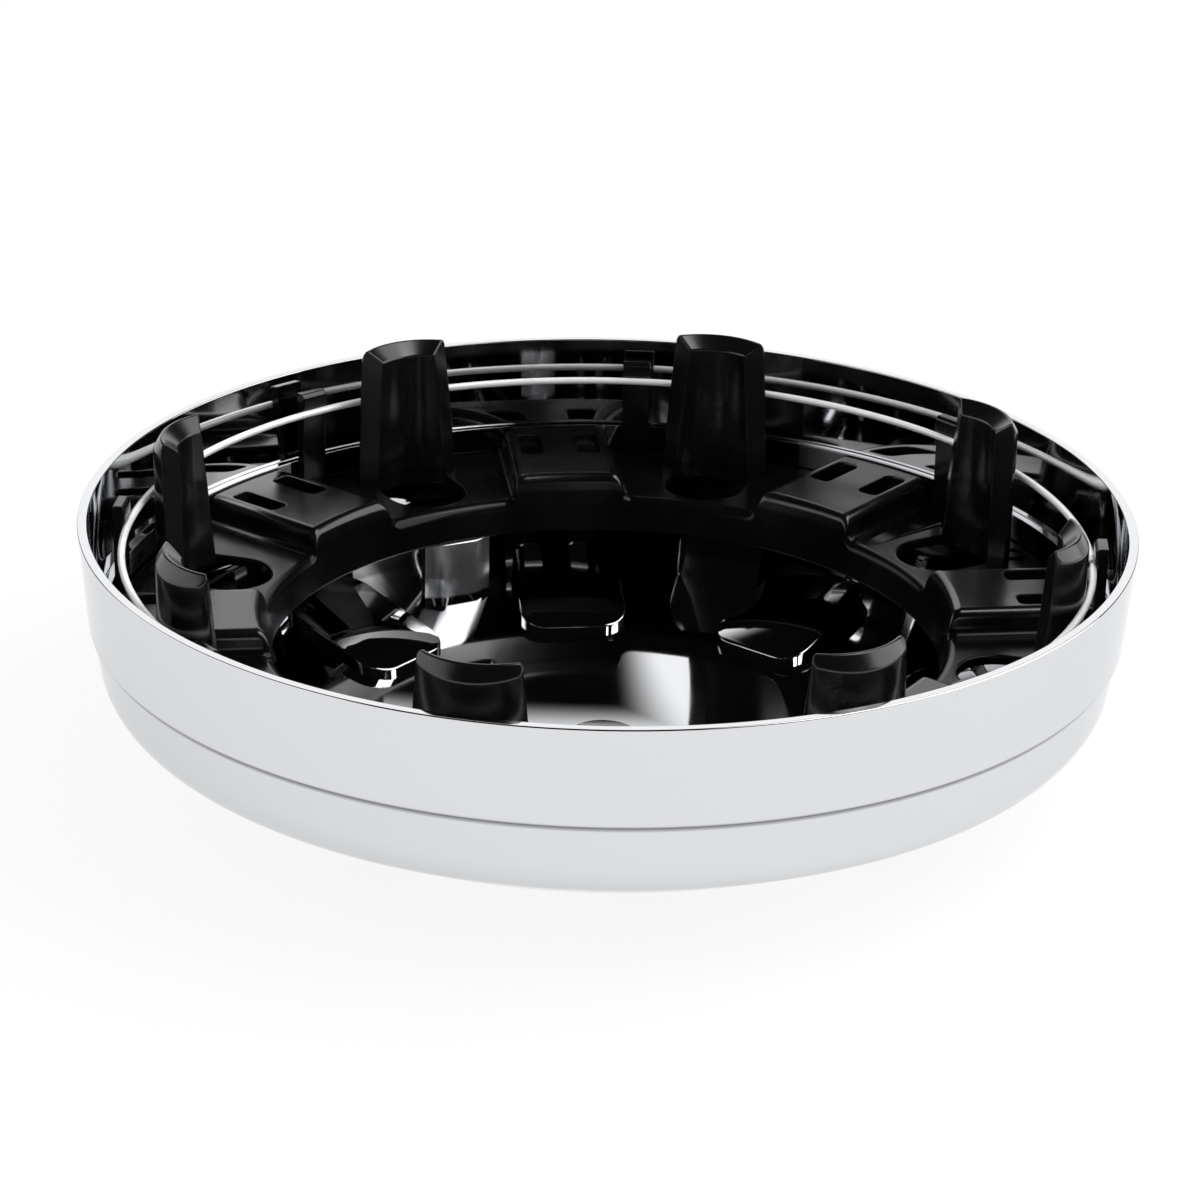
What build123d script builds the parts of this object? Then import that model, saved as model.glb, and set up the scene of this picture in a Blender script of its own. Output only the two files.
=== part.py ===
from build123d import *
import os
from math import cos, degrees, radians, sqrt, tan

# Push-on wheel centre cap, lying on its face with the open back up.
# Millimetres. The Z axis is the wheel's axis, and Z = 0 is the face that the cap lies on.

os.makedirs("parts", exist_ok=True)

# The wheel that the cap fits
lug_count = 8
lug_circle_diameter = 180.0
nut_corner_diameter = 25.4
nut_clearance = 0.7

# Shell: rim, which reaches out from the lug circle, and wall, whose foot is set in from the rim
rim_reach = 29.6
rim_height = 61.0
rim_bevel = 0.8
wall = 2.2
upper_draft = 4.6
foot_inset = 4.85
mould_line_rise = 6.0
mould_line_height = 0.8
mould_line_step = 0.8

# Shell: face, flat in the middle with two cones round it, and shoulder at the foot of the wall.
# The flat's edge is set in from the lug circle, and the bend between the cones lies outside it.
face_inset = 33.0
bend_reach = 1.5
inner_cone_slope = 16.4
outer_cone_slope = 29.0
shoulder_run = 6.75
shoulder_bevel = 5.5
boss_radius = 8.0
boss_height = 2.2
boss_dimple_radius = 3.0
boss_dimple_depth = 1.4

# Shell: rounded pockets in the face, set in from the edge of its flat
pocket_inset = 2.8
pocket_length = 29.0
pocket_width = 22.0
pocket_corner = 2.4
pocket_depth = 4.4

# Shell: ledge above the retainer's seat, and standing tabs that carry the retainer.
# The first tab stands three lugs round from the X axis, and shows in front of the skirt.
ledge_rise = 6.4
ledge_width = 2.1
tab_count = 2
tab_lug_count = 3
tab_turn = -1.4
tab_overhang = 0.65
tab_middle_width = 9.0
tab_wing_width = 4.3
tab_wing_splay = 2.0
tab_thickness = 2.2

# Retainer: ring, skirt and raised pads. The seat rises from the foot of the shell's wall.
fit_clearance = 0.3
ring_wall = 2.2
seat_rise = 9.75
seat_margin = 3.9
seat_edge_bevel = 1.0
skirt_depth = 8.4
skirt_draft = 9.8
pad_height = 5.8
pad_width = 25.7
pad_side_draft = 10.0
pad_edge_bevel = 1.3
pad_foot_bevel = 1.8
slot_length = 13.8
slot_width = 5.4
slot_corner = 1.2
slot_end_margin = 4.65
slot_offset = 7.2
lug_hole_radius = 9.6
lug_hole_inset = 1.8

# Retainer: posts that grip the nuts and rise above the rim
post_rise = 6.7
post_top_width = 22.6
post_draft = 5.0
post_grip_width = 13.8
post_ear_drop = 5.4
post_edge_flat = 0.9
post_ridge_width = 0.6
lead_in_width = 4.0
lead_in_drop = 3.4
back_bevel_width = 2.0
back_bevel_drop = 3.4

# Grip ring and its keepers, which drop from the rim's height
wire_diameter = 1.7
wire_side_count = 6
wire_drop = 8.5
wire_seat_depth = 0.3
wire_clearance = 0.1
wire_gap = 2.0
keeper_angle = 11.8
keeper_width = 7.0
keeper_depth = 2.35
keeper_drop = 3.6
keeper_hook = 1.1
keeper_bevel = 0.8

# The face of the shell, and the foot of its wall, where the wall meets the face's outer cone
lug_radius = lug_circle_diameter / 2
lug_pitch = 360 / lug_count
rim_radius = lug_radius + rim_reach
face_radius = lug_radius - face_inset
bend_radius = lug_radius + bend_reach
pocket_inner_radius = face_radius + pocket_inset
face_lean = tan(radians(inner_cone_slope))
cone_lean = tan(radians(outer_cone_slope))
bend_height = face_lean * (bend_radius - face_radius)
foot_radius = rim_radius - foot_inset
foot_z = bend_height + cone_lean * (foot_radius - bend_radius)
shoulder_radius = foot_radius - shoulder_run

# Heights of the retainer, which sits just above the foot of the wall
seat_z = foot_z + seat_rise
seat_under_z = seat_z - ring_wall
pad_z = seat_z + pad_height
skirt_z = seat_z - skirt_depth
post_top_z = rim_height + post_rise
wire_z = rim_height - wire_drop
keeper_top_z = rim_height - keeper_drop

# Outer wall of the shell, above and below the moulded line
upper_lean = tan(radians(upper_draft))
line_top_z = seat_z + mould_line_rise
line_low_z = line_top_z - mould_line_height
line_top_radius = rim_radius - upper_lean * (rim_height - line_top_z)
line_low_radius = line_top_radius - mould_line_step

# Inner wall of the shell, above and below the ledge
ledge_z = seat_z + ledge_rise
lip_radius = rim_radius - wall
ledge_outer_radius = lip_radius - upper_lean * (rim_height - ledge_z)
ledge_inner_radius = ledge_outer_radius - ledge_width

# Radii of the retainer: from the wall inwards, the keepers, the wire and the posts' backs
retainer_radius = ledge_inner_radius - fit_clearance
keeper_front = retainer_radius - keeper_depth
wire_radius = keeper_front - wire_clearance - wire_diameter / 2
post_back_radius = wire_radius - wire_diameter / 2 + wire_seat_depth
post_ear_radius = post_back_radius - post_ear_drop
slot_centre_radius = retainer_radius - slot_end_margin - slot_length / 2

# Inner edge of the retainer, which leaves a margin beside the lug openings
seat_inner_radius = lug_radius + lug_hole_inset - lug_hole_radius - seat_margin
skirt_lean = tan(radians(skirt_draft))
skirt_wall = ring_wall / cos(radians(skirt_draft))


def skirt_radius(height):
    """Radius of the retainer's leaning inner face at a height."""
    return seat_inner_radius + skirt_lean * (height - seat_z)


# Forms of one pocket: what stands up inside the shell, and what is cut from its face
pocket_forms = []
for margin in (wall, 0):
    with BuildPart() as pocket_form:
        form_length = pocket_length + 2 * margin
        form_start = pocket_inner_radius - margin
        form_end = form_start + form_length
        form_lift = pocket_depth + margin
        with BuildSketch() as pocket_plan:
            with Locations((form_start + form_length / 2, 0)):
                Rectangle(form_length, pocket_width + 2 * margin)
            chamfer(pocket_plan.vertices(), pocket_corner + margin)
        extrude(amount=seat_z)
        with BuildSketch(Plane.XZ):
            Polygon(
                (form_start, 0),
                (form_end, 0),
                (form_end, form_lift + face_lean * (form_end - face_radius)),
                (form_start, form_lift + face_lean * (form_start - face_radius)),
                align=None,
            )
        extrude(amount=pocket_width, both=True, mode=Mode.INTERSECT)
    pocket_forms.append(pocket_form.part)
plateau, pocket = pocket_forms

# The hollow of the shell, less everything that stands up in it
with BuildPart() as hollow:
    with BuildSketch(Plane.XZ):
        with BuildLine():
            Polyline(
                (0, wall),
                (face_radius, wall),
                (bend_radius, bend_height + wall),
                (shoulder_radius, bend_height + wall + cone_lean * (shoulder_radius - bend_radius)),
                (ledge_inner_radius, seat_under_z),
                (ledge_inner_radius, ledge_z),
                (ledge_outer_radius, ledge_z),
                (lip_radius, rim_height),
                (lip_radius, post_top_z),
                (0, post_top_z),
                close=True,
            )
        make_face()
    revolve(axis=Axis.Z)
    with PolarLocations(0, lug_count, start_angle=lug_pitch / 2):
        add(plateau, mode=Mode.SUBTRACT)
    # Standing tabs under the retainer's skirt, folded in three facets
    with BuildSketch():
        tab_radius = skirt_radius(skirt_z) - tab_overhang
        tab_angle = tab_lug_count * lug_pitch + tab_turn
        half_middle = tab_middle_width / 2
        half_tab = half_middle + tab_wing_width
        wing_radius = tab_radius + tab_wing_splay
        with PolarLocations(0, tab_count, start_angle=tab_angle):
            Polygon(
                (wing_radius, -half_tab),
                (wing_radius + tab_thickness, -half_tab),
                (tab_radius + tab_thickness, -half_middle),
                (tab_radius + tab_thickness, half_middle),
                (wing_radius + tab_thickness, half_tab),
                (wing_radius, half_tab),
                (tab_radius, half_middle),
                (tab_radius, -half_middle),
                align=None,
            )
    extrude(amount=skirt_z, mode=Mode.SUBTRACT)
    # Centre boss
    with BuildSketch(Plane.XY.offset(wall)):
        Circle(boss_radius)
    extrude(amount=boss_height, mode=Mode.SUBTRACT)
    with BuildSketch(Plane.XY.offset(wall + boss_height)):
        Circle(boss_dimple_radius)
    extrude(amount=-boss_dimple_depth)

# Chrome-plated shell
with BuildPart() as cap_shell:
    wall_foot = (foot_radius, foot_z)
    rim_edge = (rim_radius, rim_height)
    with BuildSketch(Plane.XZ) as shell_profile:
        with BuildLine():
            Polyline(
                (0, 0),
                (face_radius, 0),
                (bend_radius, bend_height),
                wall_foot,
                (line_low_radius, line_low_z),
                (line_top_radius, line_top_z),
                rim_edge,
                (0, rim_height),
                close=True,
            )
        make_face()
        chamfer(shell_profile.vertices().sort_by_distance(wall_foot)[0], shoulder_bevel)
        chamfer(shell_profile.vertices().sort_by_distance(rim_edge)[0], rim_bevel)
    revolve(axis=Axis.Z)
    add(hollow.part, mode=Mode.SUBTRACT)
    with PolarLocations(0, lug_count, start_angle=lug_pitch / 2):
        add(pocket, mode=Mode.SUBTRACT)

cap_shell.part.label = "cap_shell"
export_step(cap_shell.part, "parts/cap_shell.step")

# One post: a back that bows outwards and a round hollow that takes the nut
with BuildPart() as post:
    nut_radius = nut_corner_diameter / 2 + nut_clearance
    half_post = post_top_width / 2
    half_grip = post_grip_width / 2
    grip_corner = lug_radius + sqrt(nut_radius**2 - half_grip**2)
    # The oblique ends run on to a point inside the nut's hollow
    end_slope = (post_ear_radius - grip_corner) / (half_post - half_grip)
    end_point = (grip_corner - end_slope * half_grip, 0)
    with BuildSketch(Plane.XY.offset(post_top_z)):
        Polygon(
            end_point,
            (post_ear_radius, -half_post),
            (post_back_radius + wall, -half_post),
            (post_back_radius + wall, half_post),
            (post_ear_radius, half_post),
            align=None,
        )
    extrude(amount=seat_under_z - post_top_z, taper=-post_draft)
    # The back is round and leaves a narrow flat on each ear
    back_bow = post_back_radius - post_ear_radius - post_edge_flat
    back_round = (half_post**2 + back_bow**2) / (2 * back_bow)
    with BuildSketch(Plane.XY.offset(seat_under_z)):
        with Locations((post_back_radius - back_round, 0)):
            Circle(back_round)
    extrude(amount=post_top_z, mode=Mode.INTERSECT)
    with BuildSketch(Plane.XY.offset(seat_under_z)):
        with Locations((lug_radius, 0)):
            Circle(nut_radius)
    extrude(amount=post_top_z, mode=Mode.SUBTRACT)
    # The top slopes down to the nut inside and is bevelled outside, both round the nut's axis
    ridge_outer = nut_radius + lead_in_width
    ridge_inner = ridge_outer - post_ridge_width
    lead_in_slope = lead_in_drop / lead_in_width
    back_slope = back_bevel_drop / back_bevel_width
    nut_axis = Axis((lug_radius, 0, 0), (0, 0, 1))
    with BuildSketch(Plane.XZ.move(Location((lug_radius, 0, 0)))):
        roof_reach = 2 * ridge_outer
        with BuildLine():
            Polyline(
                (0, 0),
                (roof_reach, 0),
                (roof_reach, post_top_z - back_slope * (roof_reach - ridge_outer)),
                (ridge_outer, post_top_z),
                (ridge_inner, post_top_z),
                (0, post_top_z - lead_in_slope * ridge_inner),
                close=True,
            )
        make_face()
    revolve(axis=nut_axis, mode=Mode.INTERSECT)

# One raised pad: a bevelled bar along the radius, before it is trimmed to the ring
with BuildPart() as pad_bar:
    side_lean = tan(radians(pad_side_draft))
    foot_half = pad_width / 2 + pad_height * side_lean
    bar_half = foot_half + 2 * pad_foot_bevel
    with BuildSketch(Plane.YZ.offset(skirt_radius(skirt_z))) as bar_section:
        with BuildLine():
            Polyline(
                (-bar_half, seat_under_z),
                (-bar_half, seat_z),
                (-foot_half, seat_z),
                (-pad_width / 2, pad_z),
                (pad_width / 2, pad_z),
                (foot_half, seat_z),
                (bar_half, seat_z),
                (bar_half, seat_under_z),
                close=True,
            )
        make_face()
        for side in (-1, 1):
            top_corner = (side * pad_width / 2, pad_z)
            foot_corner = (side * foot_half, seat_z)
            chamfer(bar_section.vertices().sort_by_distance(top_corner)[0], pad_edge_bevel)
            chamfer(bar_section.vertices().sort_by_distance(foot_corner)[0], pad_foot_bevel)
    extrude(amount=retainer_radius)

with BuildPart() as pads:
    with BuildSketch(Plane.XZ) as pad_profile:
        pad_edge = (skirt_radius(pad_z), pad_z)
        with BuildLine():
            Polyline(
                (skirt_radius(seat_under_z), seat_under_z),
                (retainer_radius, seat_under_z),
                (retainer_radius, pad_z),
                pad_edge,
                close=True,
            )
        make_face()
        chamfer(pad_profile.vertices().sort_by_distance(pad_edge)[0], pad_edge_bevel)
    revolve(axis=Axis.Z)
    with PolarLocations(0, lug_count, start_angle=lug_pitch / 2):
        add(pad_bar.part, mode=Mode.INTERSECT)

# The hollow under one pad
with BuildPart() as pad_hollow:
    side_wall = ring_wall / cos(radians(pad_side_draft))
    roof_half = pad_width / 2 - side_wall + ring_wall * side_lean
    mouth_half = foot_half - side_wall + ring_wall * side_lean
    hollow_start = skirt_radius(pad_z) + skirt_wall
    hollow_end = sqrt(retainer_radius**2 - foot_half**2) - ring_wall
    with BuildSketch(Plane.YZ.offset(hollow_start)):
        Polygon(
            (-mouth_half, seat_under_z),
            (mouth_half, seat_under_z),
            (roof_half, pad_z - ring_wall),
            (-roof_half, pad_z - ring_wall),
            align=None,
        )
    extrude(amount=hollow_end - hollow_start)

# One lug opening: round towards the wheel's axis, and as wide as the nut's hollow at the post
with BuildPart() as lug_opening:
    with BuildSketch(Plane.XY.offset(seat_under_z)):
        with Locations((lug_radius + lug_hole_inset, 0)):
            Circle(lug_hole_radius)
            Rectangle(nut_radius, 2 * lug_hole_radius, align=(Align.MIN, Align.CENTER))
        with Locations((lug_radius, 0)):
            Circle(nut_radius, mode=Mode.INTERSECT)
    extrude(amount=ring_wall)

# One keeper: stands outside the wire and hooks over it
with BuildPart() as keeper:
    keeper_back = sqrt(retainer_radius**2 - (keeper_width / 2) ** 2)
    hook_front = keeper_front - keeper_hook
    hook_z = wire_z + wire_diameter / 2 + wire_clearance
    with BuildSketch(Plane.XZ):
        with BuildLine():
            Polyline(
                (keeper_back, seat_under_z),
                (keeper_back, keeper_top_z),
                (hook_front + keeper_bevel, keeper_top_z),
                (hook_front, keeper_top_z - keeper_bevel),
                (hook_front, hook_z),
                (keeper_front, hook_z),
                (keeper_front, seat_under_z),
                close=True,
            )
        make_face()
    extrude(amount=keeper_width / 2, both=True)

# Black retainer
with BuildPart() as lug_retainer:
    with BuildSketch(Plane.XZ) as ring_profile:
        seat_edge = (seat_inner_radius, seat_z)
        with BuildLine():
            Polyline(
                (skirt_radius(skirt_z), skirt_z),
                seat_edge,
                (retainer_radius, seat_z),
                (retainer_radius, seat_under_z),
                (skirt_radius(seat_under_z) + skirt_wall, seat_under_z),
                (skirt_radius(skirt_z) + skirt_wall, skirt_z),
                close=True,
            )
        make_face()
        chamfer(ring_profile.vertices().sort_by_distance(seat_edge)[0], seat_edge_bevel)
    revolve(axis=Axis.Z)
    add(pads.part)
    with PolarLocations(0, lug_count, start_angle=lug_pitch / 2):
        add(pad_hollow.part, mode=Mode.SUBTRACT)
    with BuildSketch(Plane.XY.offset(pad_z)) as slot_plan:
        for side in (-slot_offset, slot_offset):
            with PolarLocations(0, lug_count, start_angle=lug_pitch / 2):
                with Locations((slot_centre_radius, side)):
                    Rectangle(slot_length, slot_width)
        chamfer(slot_plan.vertices(), slot_corner)
    extrude(amount=-pad_height, mode=Mode.SUBTRACT)
    with PolarLocations(0, lug_count):
        add(lug_opening.part, mode=Mode.SUBTRACT)
        add(post.part)
    # Groove on the posts' backs that the wire lies in
    with BuildSketch(Plane.XZ):
        with Locations((wire_radius - wire_diameter / 2, wire_z)):
            groove_height = wire_diameter + 2 * wire_clearance
            Rectangle(wire_diameter, groove_height, align=(Align.MIN, Align.CENTER))
    revolve(axis=Axis.Z, mode=Mode.SUBTRACT)
    with PolarLocations(0, lug_count, start_angle=keeper_angle):
        add(keeper.part)

lug_retainer.part.label = "lug_retainer"
export_step(lug_retainer.part, "parts/lug_retainer.step")

# Spring-steel wire ring, split at one keeper
with BuildPart() as grip_ring:
    gap_angle = degrees(wire_gap / wire_radius)
    with BuildSketch(Plane.XZ.rotated((0, 0, keeper_angle + gap_angle / 2))):
        with Locations((wire_radius, wire_z)):
            RegularPolygon(wire_diameter / 2, wire_side_count)
    revolve(axis=Axis.Z, revolution_arc=360 - gap_angle)

grip_ring.part.label = "grip_ring"
export_step(grip_ring.part, "parts/grip_ring.step")
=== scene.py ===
"""Dressed model of a chromed push-on wheel centre cap that lies on its face, open back up.

The shell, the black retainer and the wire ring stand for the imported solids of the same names.
Sizes are in metres, and Z is the wheel's axis.
"""

import logging
from collections.abc import Callable
from dataclasses import dataclass, field
from enum import Enum
from math import asin, atan, atan2, cos, hypot, pi, radians, sin, sqrt, tan

import bmesh
import bpy
import numpy as np
from mathutils import Matrix, Vector


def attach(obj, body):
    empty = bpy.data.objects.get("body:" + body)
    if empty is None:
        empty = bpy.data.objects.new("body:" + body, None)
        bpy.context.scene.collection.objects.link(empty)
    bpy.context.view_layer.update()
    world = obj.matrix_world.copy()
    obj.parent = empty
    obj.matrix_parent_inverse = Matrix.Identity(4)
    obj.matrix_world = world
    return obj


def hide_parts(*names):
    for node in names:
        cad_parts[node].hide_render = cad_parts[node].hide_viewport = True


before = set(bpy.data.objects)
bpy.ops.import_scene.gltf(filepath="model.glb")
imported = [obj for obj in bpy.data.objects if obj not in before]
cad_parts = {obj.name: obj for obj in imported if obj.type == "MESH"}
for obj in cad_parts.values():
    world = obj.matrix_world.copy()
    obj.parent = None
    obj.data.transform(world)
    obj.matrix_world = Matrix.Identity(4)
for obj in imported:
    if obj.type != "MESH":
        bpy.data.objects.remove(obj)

LOG = logging.getLogger("wheel_cap")
MM = 0.001
LUG_COUNT = 8
HALF_PITCH = pi / LUG_COUNT
# How far a cutting form reaches past a face, and how deep a joined form is rooted
PAST = 1.0 * MM
ROOT = 0.4 * MM
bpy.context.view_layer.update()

Point = tuple[float, float]
RoundedPoint = tuple[float, float, float]
Place = tuple[float, float, float]
Colour = tuple[float, float, float]
Socket = bpy.types.NodeSocket
Loops = list[list[bmesh.types.BMVert]]

UP: Place = (0.0, 0.0, 1.0)
WHITE: Colour = (1.0, 1.0, 1.0)


class Operation(Enum):
    """How a second form acts on a first one."""

    JOIN = "UNION"
    CUT = "DIFFERENCE"


class Ray(Enum):
    """Kinds of ray that see the white background as it is."""

    CAMERA = "Is Camera Ray"
    GLOSSY = "Is Glossy Ray"
    TRANSMISSION = "Is Transmission Ray"


class NodeTree:
    """Short calls for making a shader's nodes and links."""

    middle_range: Point = (0.3, 0.7)

    def __init__(self, tree: bpy.types.NodeTree) -> None:
        """Takes an empty tree to fill."""
        self.tree = tree
        tree.nodes.clear()

    def add(self, kind: str, **settings: object) -> bpy.types.Node:
        """Adds a node.

        Args:
            kind: Blender's name for the node.
            settings: Values for the node's own properties.

        Returns:
            The new node.
        """
        node = self.tree.nodes.new(kind)
        for name, value in settings.items():
            setattr(node, name, value)
        return node

    def link(self, source: Socket, target: Socket) -> None:
        """Links one socket to another."""
        self.tree.links.new(source, target)

    def noise(self, scale: float, detail: float, stretch: Point = (1.0, 1.0)) -> bpy.types.Node:
        """Adds a noise texture in the object's own coordinates.

        Args:
            scale: Number of features per metre.
            detail: Number of octaves.
            stretch: Factors on the horizontal and the vertical coordinates.

        Returns:
            The noise node.
        """
        place = self.add("ShaderNodeTexCoord")
        mapping = self.add("ShaderNodeMapping")
        mapping.inputs["Scale"].default_value = (stretch[0], stretch[0], stretch[1])
        texture = self.add("ShaderNodeTexNoise")
        texture.inputs["Scale"].default_value = scale
        texture.inputs["Detail"].default_value = detail
        self.link(place.outputs["Object"], mapping.inputs["Vector"])
        self.link(mapping.outputs["Vector"], texture.inputs["Vector"])
        return texture

    def spread(self, source: Socket, low: float, high: float) -> Socket:
        """Maps a texture's middle range to a range of values.

        Args:
            source: Socket of the texture.
            low: Value at the low end.
            high: Value at the high end.

        Returns:
            The socket of the mapped value.
        """
        ramp = self.add("ShaderNodeMapRange")
        ramp.inputs["From Min"].default_value = self.middle_range[0]
        ramp.inputs["From Max"].default_value = self.middle_range[1]
        ramp.inputs["To Min"].default_value = low
        ramp.inputs["To Max"].default_value = high
        self.link(source, ramp.inputs["Value"])
        return ramp.outputs["Result"]

    def colours(self, source: Socket, *stops: tuple[float, Colour]) -> Socket:
        """Maps a value to colours.

        Args:
            source: Socket of the value.
            stops: Two places from 0 to 1, each with its colour.

        Returns:
            The socket of the colour.
        """
        ramp = self.add("ShaderNodeValToRGB")
        for element, (place, colour) in zip(ramp.color_ramp.elements, stops):
            element.position = place
            element.color = (*colour, 1.0)
        self.link(source, ramp.inputs["Fac"])
        return ramp.outputs["Color"]

    def along(self, source: Socket, way: Place) -> Socket:
        """Adds a node that measures a direction along another, and gives its socket."""
        measure = self.add("ShaderNodeVectorMath", operation="DOT_PRODUCT")
        measure.inputs[1].default_value = way
        self.link(source, measure.inputs[0])
        return measure.outputs["Value"]

    def fade(self, source: Socket, low: float, high: float, rising: bool) -> Socket:
        """Adds a smooth step between two values of a source.

        Args:
            source: Socket that is stepped.
            low: Where the step begins.
            high: Where the step ends.
            rising: Whether it goes from 0 to 1, or from 1 to 0.

        Returns:
            The socket of the step.
        """
        step = self.add("ShaderNodeMapRange", interpolation_type="SMOOTHSTEP")
        step.inputs["From Min"].default_value = low
        step.inputs["From Max"].default_value = high
        step.inputs["To Min"].default_value = 0.0 if rising else 1.0
        step.inputs["To Max"].default_value = 1.0 if rising else 0.0
        self.link(source, step.inputs["Value"])
        return step.outputs["Result"]

    def mixed(self, share: Socket, one: bpy.types.Node, two: bpy.types.Node) -> bpy.types.Node:
        """Adds a node that goes from one shader to another with a share, and gives the node."""
        node = self.add("ShaderNodeMixShader")
        self.link(share, node.inputs["Fac"])
        self.link(one.outputs[0], node.inputs[1])
        self.link(two.outputs[0], node.inputs[2])
        return node

    def size(self, source: Socket) -> Socket:
        """Adds a node that drops a value's sign, and gives its socket."""
        node = self.add("ShaderNodeMath", operation="ABSOLUTE")
        self.link(source, node.inputs[0])
        return node.outputs[0]

    def level(self, source: Socket) -> Socket:
        """Adds a node that drops a vector's height, and gives its socket."""
        flat = self.add("ShaderNodeVectorMath", operation="MULTIPLY")
        flat.inputs[1].default_value = (1.0, 1.0, 0.0)
        self.link(source, flat.inputs[0])
        return flat.outputs["Vector"]

    def radius(self, source: Socket) -> Socket:
        """Adds nodes that measure a place's distance from the axis, and gives their socket."""
        length = self.add("ShaderNodeVectorMath", operation="LENGTH")
        self.link(self.level(source), length.inputs[0])
        return length.outputs["Value"]

    def scaled(self, source: Socket, factor: float) -> Socket:
        """Adds a node that multiplies a socket by a number, and gives its socket."""
        node = self.add("ShaderNodeMath", operation="MULTIPLY")
        node.inputs[1].default_value = factor
        self.link(source, node.inputs[0])
        return node.outputs[0]

    def bump(self, shader: bpy.types.Node, height: Socket, strength: float, distance: float) -> None:
        """Adds a node that makes a shader's surface uneven.

        Args:
            shader: The shader's node.
            height: Socket of the uneven height.
            strength: Share of the effect.
            distance: Height in metres.
        """
        node = self.add("ShaderNodeBump")
        node.inputs["Strength"].default_value = strength
        node.inputs["Distance"].default_value = distance
        self.link(height, node.inputs["Height"])
        self.link(node.outputs["Normal"], shader.inputs["Normal"])

    def show(self, shader: bpy.types.Node, kind: str = "Material") -> None:
        """Makes a shader's node the one that the material or the world shows."""
        output = self.add(f"ShaderNodeOutput{kind}")
        self.link(shader.outputs[0], output.inputs["Surface"])

    def product(self, one: Socket, two: Socket) -> Socket:
        """Adds a node that multiplies two sockets, and gives its socket."""
        return self.pair("MULTIPLY", one, two)

    def larger(self, one: Socket, two: Socket) -> Socket:
        """Adds a node that takes the larger of two sockets, and gives its socket."""
        return self.pair("MAXIMUM", one, two)

    def pair(self, operation: str, one: Socket, two: Socket) -> Socket:
        """Adds a node that works on two sockets, and gives its socket."""
        node = self.add("ShaderNodeMath", operation=operation)
        self.link(one, node.inputs[0])
        self.link(two, node.inputs[1])
        return node.outputs[0]


def blank_material(name: str) -> tuple[bpy.types.Material, NodeTree]:
    """Makes a material with an empty shader."""
    made = bpy.data.materials.new(name)
    made.use_nodes = True
    return made, NodeTree(made.node_tree)


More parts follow.
